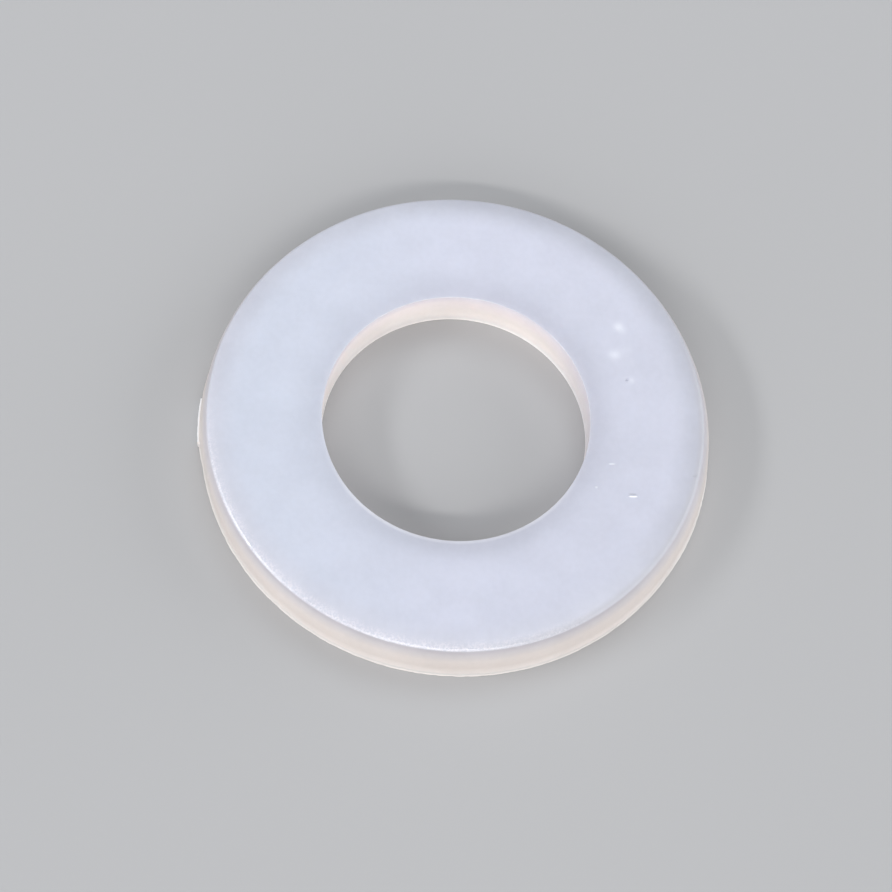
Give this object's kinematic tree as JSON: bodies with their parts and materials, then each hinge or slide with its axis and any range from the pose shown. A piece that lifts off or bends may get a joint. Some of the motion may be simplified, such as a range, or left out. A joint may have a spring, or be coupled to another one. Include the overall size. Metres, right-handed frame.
{
  "type": "flat washer",
  "caption": "Flat round plastic washer with a plain clearance bore, a softly rolled top edge and a small gate mark on its side.",
  "frame": {"origin": "on the bore's axis, in the underside that rests on the work", "axes": "+Z along the bore, from the underside to the face with the rolled edge; the gate mark is on -X"},
  "size_m": [0.0161, 0.016, 0.0016],
  "materials": {
    "natural_nylon": "milky translucent natural polyamide, satin, with a cool face and a warmer wall"
  },
  "bodies": {
    "root": {"flat_washer": "natural_nylon"}
  },
  "joints": []
}
